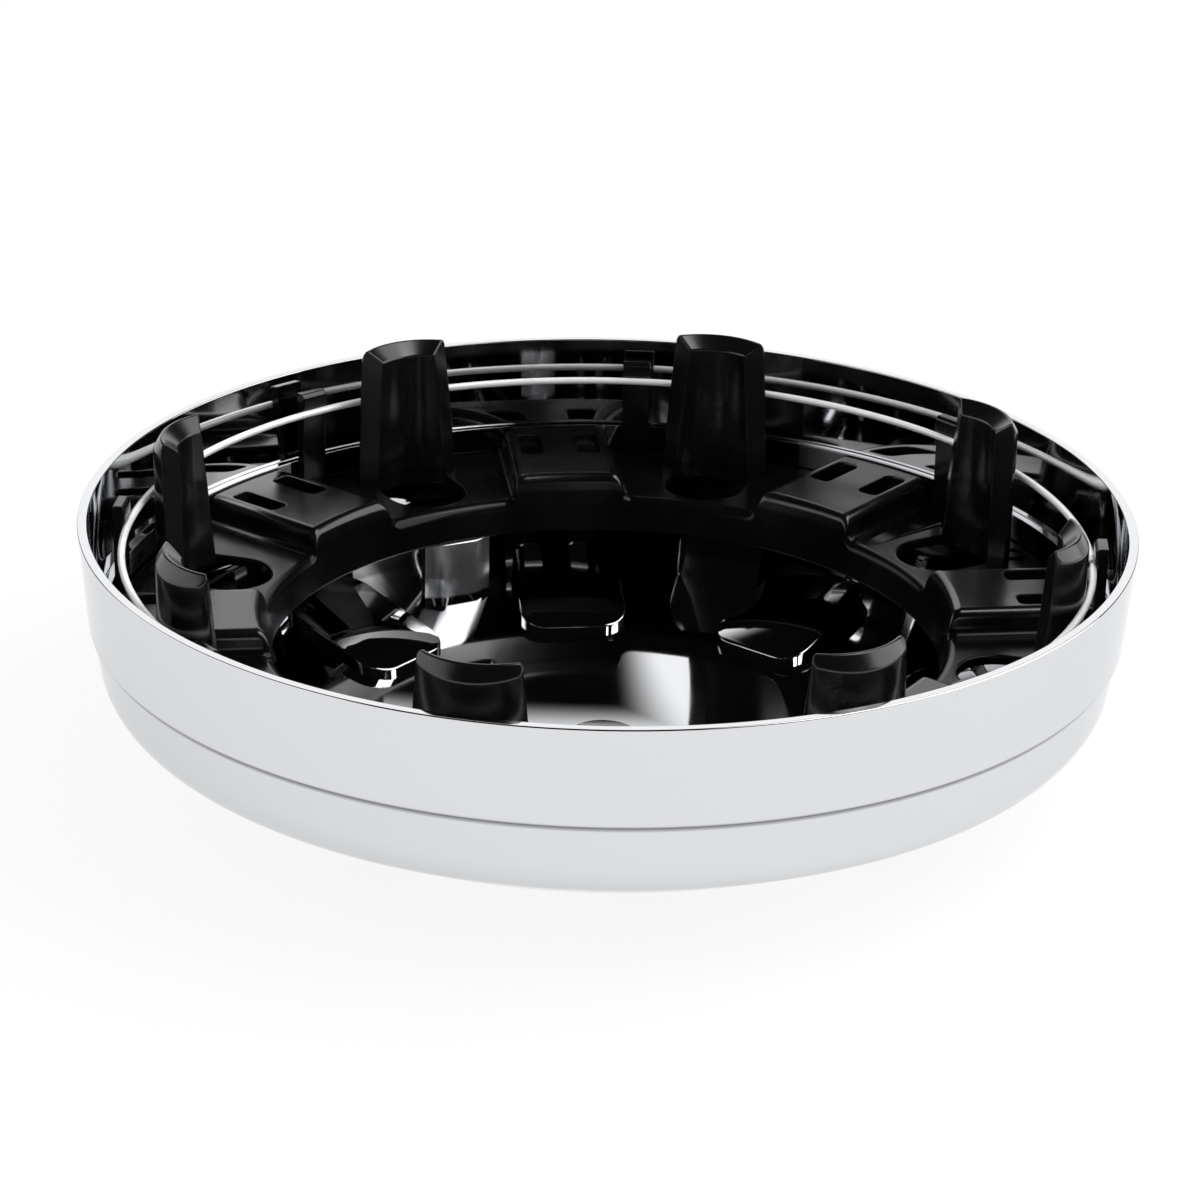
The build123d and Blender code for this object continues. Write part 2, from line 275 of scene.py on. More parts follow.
@dataclass(frozen=True)
class ChromeFinish:
    """Bright chrome plating on moulded plastic, with a faint haze and a slight ripple.

    It has painted shade in its colour along the moulded line and under the retainer, and is duller on the
    tabs.
    """

    colour: Colour = (0.705, 0.711, 0.724)
    edge_tint: Colour = (0.90, 0.905, 0.915)
    # Colour of the painted shade along the moulded line and on the wall under the retainer.
    painted_shade_colour: Colour = (0.32, 0.323, 0.335)
    shade_share: float = 0.5
    # Where shade is painted on the inner wall under the retainer.
    retainer_shade_radius: Point = (91.5 * MM, 94.0 * MM)
    retainer_shade_facing: Point = (-6.0 * MM, 2.0 * MM)
    retainer_shade_high: Point = (38.2 * MM, 38.8 * MM)
    crease_low: Point = (37.0 * MM, 37.9 * MM)
    crease_high: Point = (38.0 * MM, 39.3 * MM)
    crease_radius: Point = (116.2 * MM, 116.6 * MM)
    roughness: Point = (0.02, 0.055)
    tab_angle: float = radians(133.6)
    tab_reach: Point = (75.4 * MM, 75.9 * MM)
    tab_half_width: Point = (9.3 * MM, 9.9 * MM)
    tab_low: Point = (9.8 * MM, 10.8 * MM)
    tab_depth: float = 6.0 * MM
    tab_dulling: float = 0.22
    haze_scale: float = 38.0
    haze_detail: float = 5.0
    ripple_scale: float = 24.0
    ripple_detail: float = 1.0
    ripple_strength: float = 0.3
    ripple_height: float = 0.00002

    def crease(self, tree: NodeTree) -> Socket:
        """Adds nodes that give 1 in the crease round the outside of the wall, where shade is painted into the
        colour.

        Args:
            tree: The shader that gets the nodes.

        Returns:
            The socket of the value.
        """
        place = tree.add("ShaderNodeTexCoord").outputs["Object"]
        height = tree.along(place, UP)
        above = tree.fade(height, *self.crease_low, rising=True)
        below = tree.fade(height, *self.crease_high, rising=False)
        outside = tree.fade(tree.radius(place), *self.crease_radius, rising=True)
        return tree.product(tree.product(above, below), outside)

    def retainer_shade(self, tree: NodeTree) -> Socket:
        """Adds nodes that give 1 on the wall under the retainer, where shade is painted into the colour.

        Args:
            tree: The shader that gets the nodes.

        Returns:
            The socket of the value.
        """
        where = tree.add("ShaderNodeTexCoord")
        place = where.outputs["Object"]
        facing = tree.add("ShaderNodeVectorMath", operation="DOT_PRODUCT")
        tree.link(place, facing.inputs[0])
        tree.link(where.outputs["Normal"], facing.inputs[1])
        inward = tree.fade(facing.outputs["Value"], *self.retainer_shade_facing, rising=False)
        outer = tree.fade(tree.radius(place), *self.retainer_shade_radius, rising=True)
        below = tree.fade(tree.along(place, UP), *self.retainer_shade_high, rising=False)
        return tree.product(tree.product(inward, outer), below)

    def tabs(self, tree: NodeTree) -> Socket:
        """Adds nodes that give 1 on the standing tabs, whose plating is duller.

        Args:
            tree: The shader that gets the nodes.

        Returns:
            The socket of the value.
        """
        place = tree.add("ShaderNodeTexCoord").outputs["Object"]
        turn = self.tab_angle
        reach = tree.size(tree.along(place, (cos(turn), sin(turn), 0.0)))
        aside = tree.size(tree.along(place, (-sin(turn), cos(turn), 0.0)))
        beyond = tree.fade(reach, *self.tab_reach, rising=True)
        beside = tree.fade(aside, *self.tab_half_width, rising=False)
        inside = tree.fade(reach, *(edge + self.tab_depth for edge in self.tab_reach), rising=False)
        above = tree.fade(tree.along(place, UP), *self.tab_low, rising=True)
        return tree.product(tree.product(tree.product(beyond, beside), inside), above)

    def material(self) -> bpy.types.Material:
        """Makes the chrome's material.

        Returns:
            The material.
        """
        made, tree = blank_material("chrome_plating")
        shader = tree.add("ShaderNodeBsdfPrincipled")
        shader.inputs["Metallic"].default_value = 1.0
        shader.inputs["Specular Tint"].default_value = (*self.edge_tint, 1.0)
        # The base colour darkens to painted shade along the moulded line and on the wall under the retainer.
        line = tree.scaled(self.crease(tree), self.shade_share)
        stops = ((0.0, self.colour), (self.shade_share, self.painted_shade_colour))
        colours = tree.colours(tree.larger(line, self.retainer_shade(tree)), *stops)
        tree.link(colours, shader.inputs["Base Color"])
        haze = tree.noise(self.haze_scale, self.haze_detail)
        dull = tree.add("ShaderNodeMath", operation="MULTIPLY_ADD")
        dull.inputs[1].default_value = self.tab_dulling
        tree.link(self.tabs(tree), dull.inputs[0])
        tree.link(tree.spread(haze.outputs["Fac"], *self.roughness), dull.inputs[2])
        tree.link(dull.outputs[0], shader.inputs["Roughness"])
        ripple = tree.noise(self.ripple_scale, self.ripple_detail)
        tree.bump(shader, ripple.outputs["Fac"], self.ripple_strength, self.ripple_height)
        tree.show(shader)
        return made


@dataclass(frozen=True)
class SatinPlasticFinish:
    """Black moulded plastic with a fine satin grain, whose reflection is weakened below the seat's edge as
    painted shade.
    """

    dark: Colour = (0.0014, 0.0014, 0.0016)
    pale: Colour = (0.0028, 0.0028, 0.0031)
    roughness: Point = (0.17, 0.24)
    # Reflection strength below and above the seat's edge; the weak lower value is painted shade on the skirt
    # and the openings' walls.
    shaded_shine: Point = (0.22, 0.75)
    shade_height: Point = (33.5 * MM, 36.0 * MM)
    grain_scale: float = 1800.0
    grain_detail: float = 2.0
    grain_strength: float = 0.25
    grain_height: float = 0.00003
    mottle_scale: float = 60.0
    mottle_detail: float = 4.0
    mottle_range: Point = (0.35, 0.65)

    def material(self) -> bpy.types.Material:
        """Makes the plastic's material.

        Returns:
            The material.
        """
        made, tree = blank_material("satin_black_plastic")
        shader = tree.add("ShaderNodeBsdfPrincipled")
        height = tree.along(tree.add("ShaderNodeTexCoord").outputs["Object"], UP)
        # The reflection is weakened lower down as painted shade.
        shaded_shine = tree.spread(tree.fade(height, *self.shade_height, rising=True), *self.shaded_shine)
        tree.link(shaded_shine, shader.inputs["Specular IOR Level"])
        mottle = tree.noise(self.mottle_scale, self.mottle_detail).outputs["Fac"]
        stops = zip(self.mottle_range, (self.dark, self.pale))
        tree.link(tree.colours(mottle, *stops), shader.inputs["Base Color"])
        tree.link(tree.spread(mottle, *self.roughness), shader.inputs["Roughness"])
        grain = tree.noise(self.grain_scale, self.grain_detail)
        tree.bump(shader, grain.outputs["Fac"], self.grain_strength, self.grain_height)
        tree.show(shader)
        return made


@dataclass(frozen=True)
class PlatedWireFinish:
    """Zinc-plated spring wire, pale and half matt, with faint streaks."""

    dark: Colour = (0.88, 0.88, 0.87)
    pale: Colour = (0.94, 0.94, 0.93)
    metal_share: float = 0.2
    roughness: Point = (0.24, 0.34)
    streak_scale: float = 260.0
    streak_detail: float = 3.0
    streak_stretch: Point = (0.25, 4.0)
    streak_range: Point = (0.35, 0.65)

    def material(self) -> bpy.types.Material:
        """Makes the wire's material.

        Returns:
            The material.
        """
        made, tree = blank_material("plated_wire")
        shader = tree.add("ShaderNodeBsdfPrincipled")
        shader.inputs["Metallic"].default_value = self.metal_share
        noise = tree.noise(self.streak_scale, self.streak_detail, self.streak_stretch)
        streaks = noise.outputs["Fac"]
        stops = zip(self.streak_range, (self.dark, self.pale))
        tree.link(tree.colours(streaks, *stops), shader.inputs["Base Color"])
        tree.link(tree.spread(streaks, *self.roughness), shader.inputs["Roughness"])
        tree.show(shader)
        return made


def turned(way: Vector, angle: float) -> Vector:
    """Turns a direction in the plane by an angle."""
    across = way.x * cos(angle) - way.y * sin(angle)
    return Vector((across, way.x * sin(angle) + way.y * cos(angle)))


def round_axis(radius: float, angle: float, height: float) -> Place:
    """Place at a radius, an angle and a height round the wheel's axis."""
    return radius * cos(angle), radius * sin(angle), height


def rounded_line(points: list[RoundedPoint], step: float = radians(9)) -> tuple[list[Point], list[Point]]:
    """Rounds the corners of a line in the plane of radius and height.

    Args:
        points: Radius, height and corner round of each point.
        step: Largest turn between neighbouring points of a round.

    Returns:
        The rounded line's points, and the direction of the line at each.
    """
    places: list[Point] = []
    ways: list[Point] = []
    last = len(points) - 1
    for index, (x, y, corner) in enumerate(points):
        before = points[max(index - 1, 0)]
        after = points[min(index + 1, last)]
        come = Vector((x - before[0], y - before[1]))
        go = Vector((after[0] - x, after[1] - y))
        if index == 0:
            come = go.copy()
        if index == last:
            go = come.copy()
        come.normalize()
        go.normalize()
        turn = atan2(come.x * go.y - come.y * go.x, come.dot(go))
        if corner <= 0 or abs(turn) < 1e-6:
            for way in (come, go) if abs(turn) > 1e-6 else (come,):
                places.append((x, y))
                ways.append((way.x, way.y))
            continue
        reach = corner * tan(abs(turn) / 2)
        start = Vector((x, y)) - come * reach
        side = Vector((-come.y, come.x)) * (1 if turn > 0 else -1)
        middle = start + side * corner
        count = max(2, round(abs(turn) / step))
        for part in range(count + 1):
            angle = turn * part / count
            way = turned(come, angle)
            place = middle + turned(-side, angle) * corner
            places.append((place.x, place.y))
            ways.append((way.x, way.y))
    return places, ways


def object_from(name: str, mesh: bpy.types.Mesh) -> bpy.types.Object:
    """Puts a mesh in the scene as an object."""
    made = bpy.data.objects.new(name, mesh)
    bpy.context.scene.collection.objects.link(made)
    return made


def mesh_from(work: bmesh.types.BMesh, name: str) -> bpy.types.Mesh:
    """Turns working geometry into a mesh, and frees it."""
    mesh = bpy.data.meshes.new(name)
    work.to_mesh(mesh)
    work.free()
    return mesh


def skin(work: bmesh.types.BMesh, loops: Loops) -> None:
    """Fills the bands between neighbouring loops of points with faces."""
    for one, two in zip(loops, loops[1:]):
        for k in range(len(one)):
            following = (k + 1) % len(one)
            work.faces.new((one[k], one[following], two[following], two[k]))


def round_edges(
    work: bmesh.types.BMesh, edges: list[bmesh.types.BMEdge], width: float, segments: int
) -> None:
    """Rounds edges over a width, in a number of segments."""
    bmesh.ops.bevel(
        work, geom=edges, offset=width, offset_type="OFFSET", segments=segments, profile=0.5,
        affect="EDGES",
    )


def corner_values(
    items: bpy.types.bpy_prop_collection, name: str, width: int, kind: type = np.float32
) -> np.ndarray:
    """Reads one property of a mesh's items.

    Args:
        items: The mesh's vertices, corners or faces.
        name: The property.
        width: How many numbers the property has.
        kind: Kind of number.

    Returns:
        A row of numbers for each item.
    """
    flat = np.zeros(len(items) * width, kind)
    items.foreach_get(name, flat)
    return flat.reshape(-1, width)


def worked_mesh(subject: bpy.types.Object) -> bpy.types.Mesh:
    """Gives the mesh of an object with its modifiers applied."""
    graph = bpy.context.evaluated_depsgraph_get()
    return bpy.data.meshes.new_from_object(subject.evaluated_get(graph))


def combine(subject: bpy.types.Object, tool: bpy.types.Object, operation: Operation) -> None:
    """Joins a tool form to an object or cuts it from it, and removes the tool.

    Args:
        subject: The object that changes.
        tool: The form that acts on it.
        operation: Whether the form is joined or cut.
    """
    step = subject.modifiers.new(operation.name.lower(), "BOOLEAN")
    step.operation = operation.value
    step.solver = "EXACT"
    step.use_self = operation is Operation.JOIN
    step.object = tool
    bpy.context.view_layer.update()
    mesh = worked_mesh(subject)
    subject.modifiers.clear()
    old = subject.data
    subject.data = mesh
    bpy.data.meshes.remove(old)
    bpy.data.objects.remove(tool)


def closed_loft(loops: list[list[Vector]]) -> bpy.types.Mesh:
    """Makes a closed form from loops of points, one above the other.

    Args:
        loops: Loops with the same number of points each, from the lowest up.

    Returns:
        The mesh, with its faces turned outwards.
    """
    work = bmesh.new()
    rows = [[work.verts.new(place) for place in loop] for loop in loops]
    skin(work, rows)
    work.faces.new(list(reversed(rows[0])))
    work.faces.new(rows[-1])
    bmesh.ops.recalc_face_normals(work, faces=work.faces)
    return mesh_from(work, "form")


def round_topped(
    loop: Callable[[float, float], list[Vector]], low: float, top: float, edge: float, parts: int
) -> bpy.types.Mesh:
    """Makes an upright form with a rounded top edge.

    Args:
        loop: Gives the outline for an inset and a height.
        low: Height of the bottom.
        top: Height of the top.
        edge: Round of the top edge.
        parts: Number of steps round that edge.

    Returns:
        The closed form.
    """
    loops = [loop(0.0, low), loop(0.0, top - edge)]
    for part in range(1, parts + 1):
        angle = pi / 2 * part / parts
        loops.append(loop(edge * (1 - cos(angle)), top - edge * (1 - sin(angle))))
    return closed_loft(loops)


def round_rectangle(length: float, width: float, corner: float, parts: int = 8) -> list[Point]:
    """Outline of a rectangle with round corners about the origin, anticlockwise."""
    outline: list[Point] = []
    for number, (sx, sy) in enumerate(((1, 1), (-1, 1), (-1, -1), (1, -1))):
        for part in range(parts + 1):
            angle = pi / 2 * (number + part / parts)
            outline.append((
                sx * (length / 2 - corner) + corner * cos(angle),
                sy * (width / 2 - corner) + corner * sin(angle),
            ))
    return outline


def soften(subject: bpy.types.Object, limit: float) -> None:
    """Shades a mesh smoothly, with large faces flat and edges sharper than a limit kept.

    Args:
        subject: The object whose mesh is shaded.
        limit: Largest angle between faces that are shaded as one.
    """
    mesh = subject.data
    mesh.polygons.foreach_set("use_smooth", np.ones(len(mesh.polygons), bool))
    mesh.set_sharp_from_angle(angle=limit)
    weigh = subject.modifiers.new("weigh", "WEIGHTED_NORMAL")
    weigh.keep_sharp = True
    bpy.context.view_layer.update()
    subject.data = worked_mesh(subject)
    subject.modifiers.clear()
    bpy.data.meshes.remove(mesh)


def turned_copies(mesh: bpy.types.Mesh, name: str, start: float, count: int = LUG_COUNT) -> bpy.types.Object:
    """Repeats a mesh round the axis.

    Args:
        mesh: The form to repeat, which is removed.
        name: Name of the new object.
        start: Angle of the first copy.
        count: Number of copies.

    Returns:
        One object with all the copies.
    """
    work = bmesh.new()
    for number in range(count):
        turned = mesh.copy()
        turned.transform(Matrix.Rotation(start + 2 * pi * number / count, 4, "Z"))
        work.from_mesh(turned)
        bpy.data.meshes.remove(turned)
    bpy.data.meshes.remove(mesh)
    return object_from(name, mesh_from(work, name))


class Dressed:
    """A piece that wears one finish."""

    finish: ChromeFinish | SatinPlasticFinish | PlatedWireFinish

    def dress(self, made: bpy.types.Object) -> None:
        """Gives the piece its material."""
        made.data.materials.clear()
        made.data.materials.append(self.finish.material())


@dataclass
class CapShell(Dressed):
    """The chromed bowl: wall, rim, face with pockets, standing tabs and centre boss."""

    finish: ChromeFinish
    rim_radius: float = 119.6 * MM
    rim_height: float = 61.0 * MM
    rim_outer_round: float = 0.3 * MM
    rim_inner_round: float = 0.25 * MM
    wall: float = 2.2 * MM
    upper_draft: float = radians(4.6)
    foot_radius: float = 114.75 * MM
    mould_line_z: float = 38.79 * MM
    mould_line_height: float = 0.8 * MM
    mould_line_step: float = 0.8 * MM
    mould_line_round: float = 0.35 * MM
    face_radius: float = 57.0 * MM
    bend_radius: float = 91.5 * MM
    inner_cone_slope: float = radians(16.4)
    outer_cone_slope: float = radians(29.0)
    face_round: float = 60.0 * MM
    floor_round: float = 150.0 * MM
    dome_radius: float = 266.0 * MM
    dome_reach: float = 75.0 * MM
    shoulder_radius: float = 108.0 * MM
    shoulder_round: float = 11.0 * MM
    shoulder_inner_round: float = 8.0 * MM
    ledge_z: float = 39.19 * MM
    ledge_width: float = 2.1 * MM
    ledge_outer_round: float = 0.3 * MM
    ledge_inner_round: float = 0.15 * MM
    seat_under: float = 30.59 * MM
    seat_round: float = 3.0 * MM
    boss_radius: float = 8.0 * MM
    boss_height: float = 2.2 * MM
    boss_foot_round: float = 0.6 * MM
    boss_round: float = 0.5 * MM
    dimple_radius: float = 3.0 * MM
    dimple_depth: float = 1.4 * MM
    dimple_round: float = 0.4 * MM
    pocket_inner_radius: float = 59.8 * MM
    pocket_length: float = 29.0 * MM
    pocket_width: float = 22.0 * MM
    pocket_corner: float = 4.2 * MM
    pocket_depth: float = 4.4 * MM
    pocket_round: float = 0.8 * MM
    pocket_reach_down: float = 6.0 * MM
    plateau_root: float = 1.0 * MM
    plateau_round: float = 0.45 * MM
    plateau_shading_lean: float = radians(60)
    plateau_steepness: float = 0.35
    plateau_margin: float = 0.1 * MM
    tab_radius: float = 76.2 * MM
    tab_angle: float = radians(133.6)
    tab_count: int = 2
    tab_middle_width: float = 9.0 * MM
    tab_wing_width: float = 4.3 * MM
    tab_wing_splay: float = 2.0 * MM
    tab_thickness: float = 2.2 * MM
    tab_top: float = 24.4 * MM
    tab_low: float = 6.0 * MM
    tab_round: float = 0.4 * MM
    smooth_limit: float = radians(34)
    exact_limit: float = radians(20)
    exact_reach: float = 0.02 * MM
    turns: int = 256
    line: list[Point] = field(default_factory=list)
    line_ways: list[Point] = field(default_factory=list)

    def profile(self) -> list[RoundedPoint]:
        """Section of the shell, from the middle of its face round the rim to the middle of its floor.

        Returns:
            Radius, height and corner round of each point.
        """
        face_lean = tan(self.inner_cone_slope)
        cone_lean = tan(self.outer_cone_slope)
        upper_lean = tan(self.upper_draft)
        bend_height = face_lean * (self.bend_radius - self.face_radius)
        foot_z = bend_height + cone_lean * (self.foot_radius - self.bend_radius)
        line_low_z = self.mould_line_z - self.mould_line_height
        line_top = self.rim_radius - upper_lean * (self.rim_height - self.mould_line_z)
        line_low = line_top - self.mould_line_step
        lip = self.rim_radius - self.wall
        ledge_outer = lip - upper_lean * (self.rim_height - self.ledge_z)
        ledge_inner = ledge_outer - self.ledge_width
        shoulder_z = bend_height + self.wall + cone_lean * (self.shoulder_radius - self.bend_radius)
        boss_z = self.wall + self.boss_height
        return [
            (0.0, 0.0, 0.0),
            (self.face_radius, 0.0, self.face_round),
            (self.bend_radius, bend_height, self.face_round),
            (self.foot_radius, foot_z, self.shoulder_round),
            (line_low, line_low_z, self.mould_line_round),
            (line_top, self.mould_line_z, self.mould_line_round),
            (self.rim_radius, self.rim_height, self.rim_outer_round),
            (lip, self.rim_height, self.rim_inner_round),
            (ledge_outer, self.ledge_z, self.ledge_outer_round),
            (ledge_inner, self.ledge_z, self.ledge_inner_round),
            (ledge_inner, self.seat_under, self.seat_round),
            (self.shoulder_radius, shoulder_z, self.shoulder_inner_round),
            (self.bend_radius, bend_height + self.wall, self.face_round),
            (self.face_radius, self.wall, self.floor_round),
            (self.boss_radius, self.wall, self.boss_foot_round),
            (self.boss_radius, boss_z, self.boss_round),
            (self.dimple_radius, boss_z, self.dimple_round),
            (self.dimple_radius, boss_z - self.dimple_depth, self.dimple_round),
            (0.0, boss_z - self.dimple_depth, 0.0),
        ]

    def bowl(self) -> bpy.types.Object:
        """Turns the section round the axis, and shades its floor as part of a dome.

        Returns:
            The bowl, without plateaus, pockets and tabs.
        """
        self.line, self.line_ways = rounded_line(self.profile())
        dome_start = self.boss_radius + self.boss_foot_round - 0.01 * MM
        for number, (radius, height) in enumerate(self.line):
            inside = number > len(self.line) / 2 and dome_start < radius < self.dome_reach
            if inside and height < self.rim_height / 4:
                lean = asin(radius / self.dome_radius)
                self.line_ways[number] = (-cos(lean), -sin(lean))
        work = bmesh.new()
        rings: Loops = []
        for radius, height in self.line:
            count = self.turns if radius > 1e-9 else 1
            rings.append([
                work.verts.new(round_axis(radius, 2 * pi * k / self.turns, height))
                for k in range(count)
            ])
        for one, two in zip(rings, rings[1:]):
            for k in range(self.turns):
                following = (k + 1) % self.turns
                corners = [(one, k), (one, following), (two, following), (two, k)]
                work.faces.new(list(dict.fromkeys(ring[at % len(ring)] for ring, at in corners)))
        bmesh.ops.remove_doubles(work, verts=work.verts, dist=1e-7)
        bmesh.ops.recalc_face_normals(work, faces=work.faces)
        return object_from("cap_shell_visual", mesh_from(work, "cap_shell_visual"))

    def pocket_form(self, margin: float, low: float, edge: float) -> bpy.types.Mesh:
        """Form of one pocket, along +X.

        Args:
            margin: How far the form reaches beyond the pocket's own outline, and above its floor.
            low: Height of the form's flat bottom above the face's cone.
            edge: Round of the form's top edge.

        Returns:
            The closed form.
        """
        lean = tan(self.inner_cone_slope)
        middle = self.pocket_inner_radius + self.pocket_length / 2
        length = self.pocket_length + 2 * margin
        width = self.pocket_width + 2 * margin
        corner = self.pocket_corner + margin

        def loop(inset: float, lift: float) -> list[Vector]:
            """One outline of the form at a height above the cone."""
            outline = round_rectangle(length - 2 * inset, width - 2 * inset, corner - inset)
            places = [(middle + x, y) for x, y in outline]
            return [Vector((x, y, lift + lean * (x - self.face_radius))) for x, y in places]

        return round_topped(loop, low, self.pocket_depth + margin, edge, parts=5)

    def tab_form(self) -> bpy.types.Mesh:
        """One standing tab, folded in three facets, along +X, with a softened top edge.

        Returns:
            The closed form.
        """
        half = self.tab_middle_width / 2
        end = half + self.tab_wing_width
        wing = self.tab_radius + self.tab_wing_splay
        back = self.tab_thickness

        def loop(inset: float, height: float) -> list[Vector]:
            """Outline of the tab at a height, drawn in by an inset."""
            front = [(wing, -end), (self.tab_radius, -half), (self.tab_radius, half), (wing, end)]
            rear = [(x + back - inset, y) for x, y in reversed(front)]
            front = [(x + inset, y) for x, y in front]
            shrink = (end - inset) / end
            return [Vector((x, y * shrink, height)) for x, y in rear + front]

        return round_topped(loop, self.tab_low, self.tab_top, self.tab_round, parts=3)

    def section_normals(self, place: np.ndarray) -> tuple[np.ndarray, np.ndarray]:
        """Finds the normals that the turned section has at the places nearest to some points.

        Args:
            place: The points.

        Returns:
            A normal for each point, and the points' distances from the section.
        """
        line = np.array(self.line)
        ways = np.array(self.line_ways)
        radius = np.hypot(place[:, 0], place[:, 1])
        height = place[:, 2]
        best = np.full(len(place), 1e9)
        normal = np.zeros((len(place), 2))
        for start, stop, way_a, way_b in zip(line[:-1], line[1:], ways[:-1], ways[1:]):
            along = stop - start
            size = along @ along
            if size < 1e-16:
                continue
            out, up = radius - start[0], height - start[1]
            share = np.clip((out * along[0] + up * along[1]) / size, 0, 1)
            off = np.hypot(out - share * along[0], up - share * along[1])
            way = way_a + share[:, None] * (way_b - way_a)
            closer = off < best
            best[closer] = off[closer]
            normal[closer] = np.stack([way[:, 1], -way[:, 0]], 1)[closer]
        normal /= np.maximum(np.linalg.norm(normal, axis=1), 1e-12)[:, None]
        level = normal[:, :1] * place[:, :2] / np.maximum(radius, 1e-9)[:, None]
        return np.concatenate([level, normal[:, 1:]], 1), best

    def true_normals(self, mesh: bpy.types.Mesh) -> None:
        """Gives turned surfaces the exact normals of their section, and the rest soft ones by angle.

        Args:
            mesh: The finished mesh of the shell.
        """
        mesh.polygons.foreach_set("use_smooth", np.ones(len(mesh.polygons), bool))
        mesh.set_sharp_from_angle(angle=self.smooth_limit)
        soft = corner_values(mesh.corner_normals, "vector", 3)
        place = corner_values(mesh.vertices, "co", 3).astype(float)
        of_loop = corner_values(mesh.loops, "vertex_index", 1, np.int32)[:, 0]
        normal, off = self.section_normals(place)
        exact = normal[of_loop]
        counts = corner_values(mesh.polygons, "loop_total", 1, np.int32)[:, 0]
        face_way = np.repeat(corner_values(mesh.polygons, "normal", 3), counts, axis=0)
        agree = np.einsum("ij,ij->i", exact, face_way) > cos(self.exact_limit)
        use = (off[of_loop] < self.exact_reach) & agree
        chosen = np.where(use[:, None], exact, soft)
        sides = self.plateau_sides(place[of_loop], face_way) & ~use
        flat = soft[sides] * (1.0, 1.0, 0.0)
        flat /= np.linalg.norm(flat, axis=1)[:, None]
        lean = self.plateau_shading_lean
        chosen[sides] = flat * cos(lean) + np.array(UP) * sin(lean)
        mesh.normals_split_custom_set([tuple(way) for way in chosen])

    def plateau_sides(self, place: np.ndarray, way: np.ndarray) -> np.ndarray:
        """Finds the upright sides of the plateaus, which are shaded as if they leaned.

        Args:
            place: Places of the face corners.
            way: Normals of their faces.

        Returns:
            Which corners belong to those sides.
        """
        step = 2 * pi / LUG_COUNT
        radius = np.hypot(place[:, 0], place[:, 1])
        angle = np.arctan2(place[:, 1], place[:, 0])
        off = (angle - HALF_PITCH + step / 2) % step - step / 2
        middle = angle - off
        along = radius * np.cos(off) - self.pocket_inner_radius - self.pocket_length / 2
        across = radius * np.sin(off)
        way_along = way[:, 0] * np.cos(middle) + way[:, 1] * np.sin(middle)
        way_across = way[:, 1] * np.cos(middle) - way[:, 0] * np.sin(middle)
        reach = self.wall + self.plateau_margin
        inside = np.abs(along) < self.pocket_length / 2 + reach
        inside &= np.abs(across) < self.pocket_width / 2 + reach
        outward = along * way_along + across * way_across > 0
        return inside & outward & (np.abs(way[:, 2]) < self.plateau_steepness)

    def build(self) -> bpy.types.Object:
        """Makes the shell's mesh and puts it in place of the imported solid.

        Returns:
            The shell.
        """
        shell = self.bowl()
        plateau = self.pocket_form(self.wall, self.plateau_root, self.plateau_round)
        combine(shell, turned_copies(plateau, "plateaus", HALF_PITCH), Operation.JOIN)
        pocket = self.pocket_form(0.0, -self.pocket_reach_down, self.pocket_round)
        combine(shell, turned_copies(pocket, "pockets", HALF_PITCH), Operation.CUT)
        tabs = turned_copies(self.tab_form(), "tabs", self.tab_angle, self.tab_count)
        combine(shell, tabs, Operation.JOIN)
        self.true_normals(shell.data)
        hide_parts("cap_shell")
        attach(shell, "root")
        return shell


